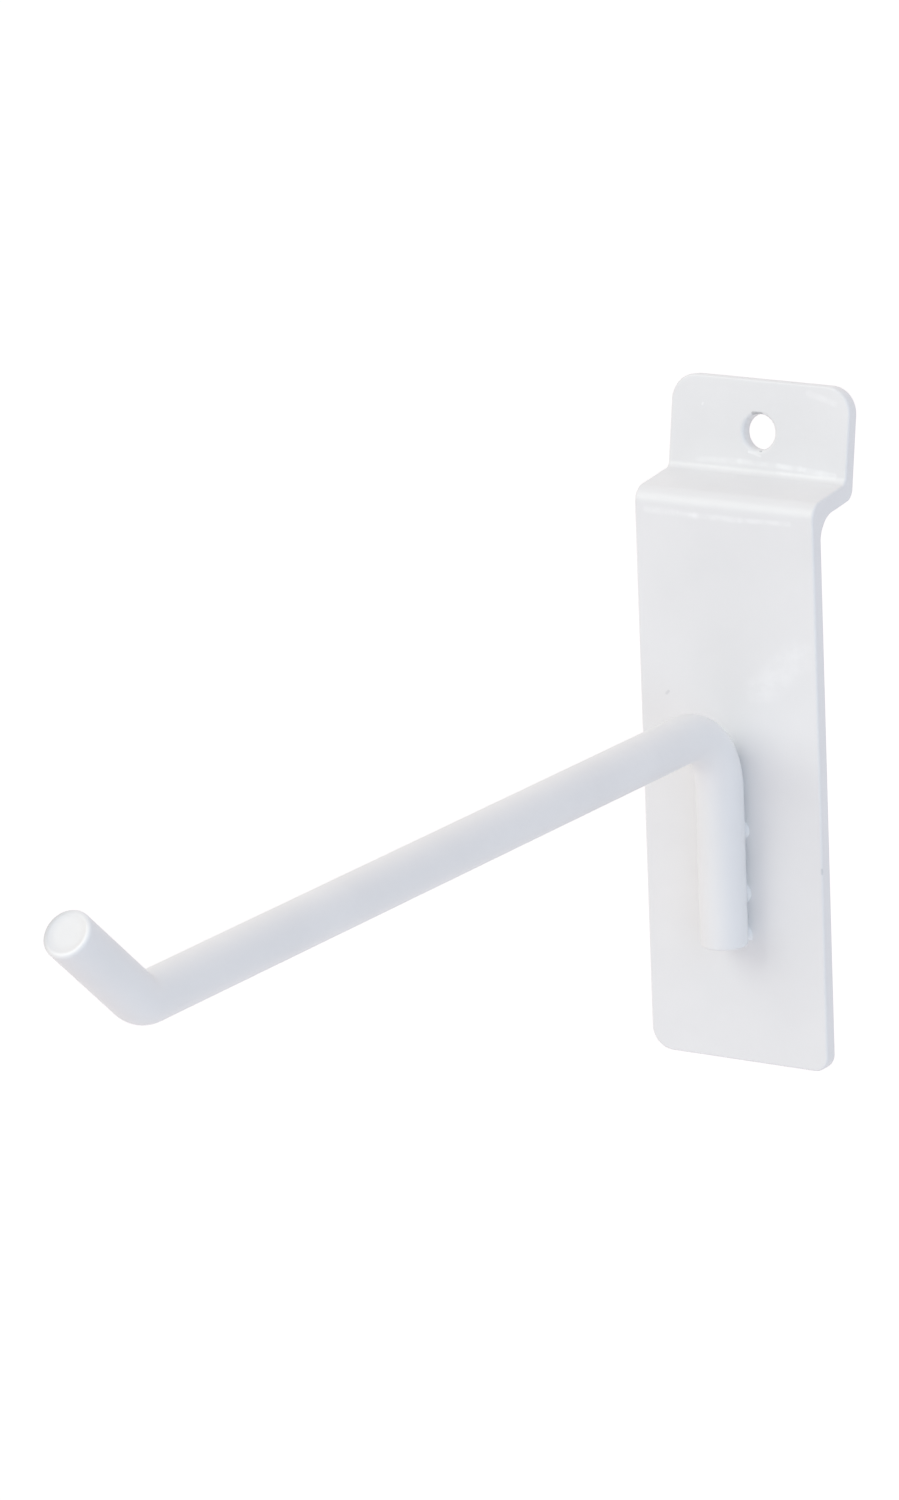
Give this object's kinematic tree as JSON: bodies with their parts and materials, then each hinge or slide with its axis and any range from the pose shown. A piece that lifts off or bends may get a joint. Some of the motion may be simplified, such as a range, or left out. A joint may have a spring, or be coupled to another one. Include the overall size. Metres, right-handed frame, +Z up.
{
  "type": "slatwall hook",
  "caption": "Steel hook for slatwall: a bent strip with a tongue that hangs in the panel's groove, and a welded round bar arm with an upturned tip that holds goods.",
  "frame": {"origin": "on the plate's back, which lies on the panel's face, at the height of the arm's centre line and midway across the plate", "axes": "+Y into the wall, so the arm runs out along -Y; +Z up as hung; +X across the plate"},
  "size_m": [0.0254, 0.1563, 0.0852],
  "materials": {
    "plate_coat": "white powder coat, satin",
    "arm_coat": "white powder coat, satin",
    "weld_coat": "white powder coat, satin"
  },
  "bodies": {
    "root": {"back_plate": "plate_coat", "arm": "arm_coat", "weld_upper": "weld_coat", "weld_middle": "weld_coat", "weld_lower": "weld_coat"}
  },
  "joints": []
}
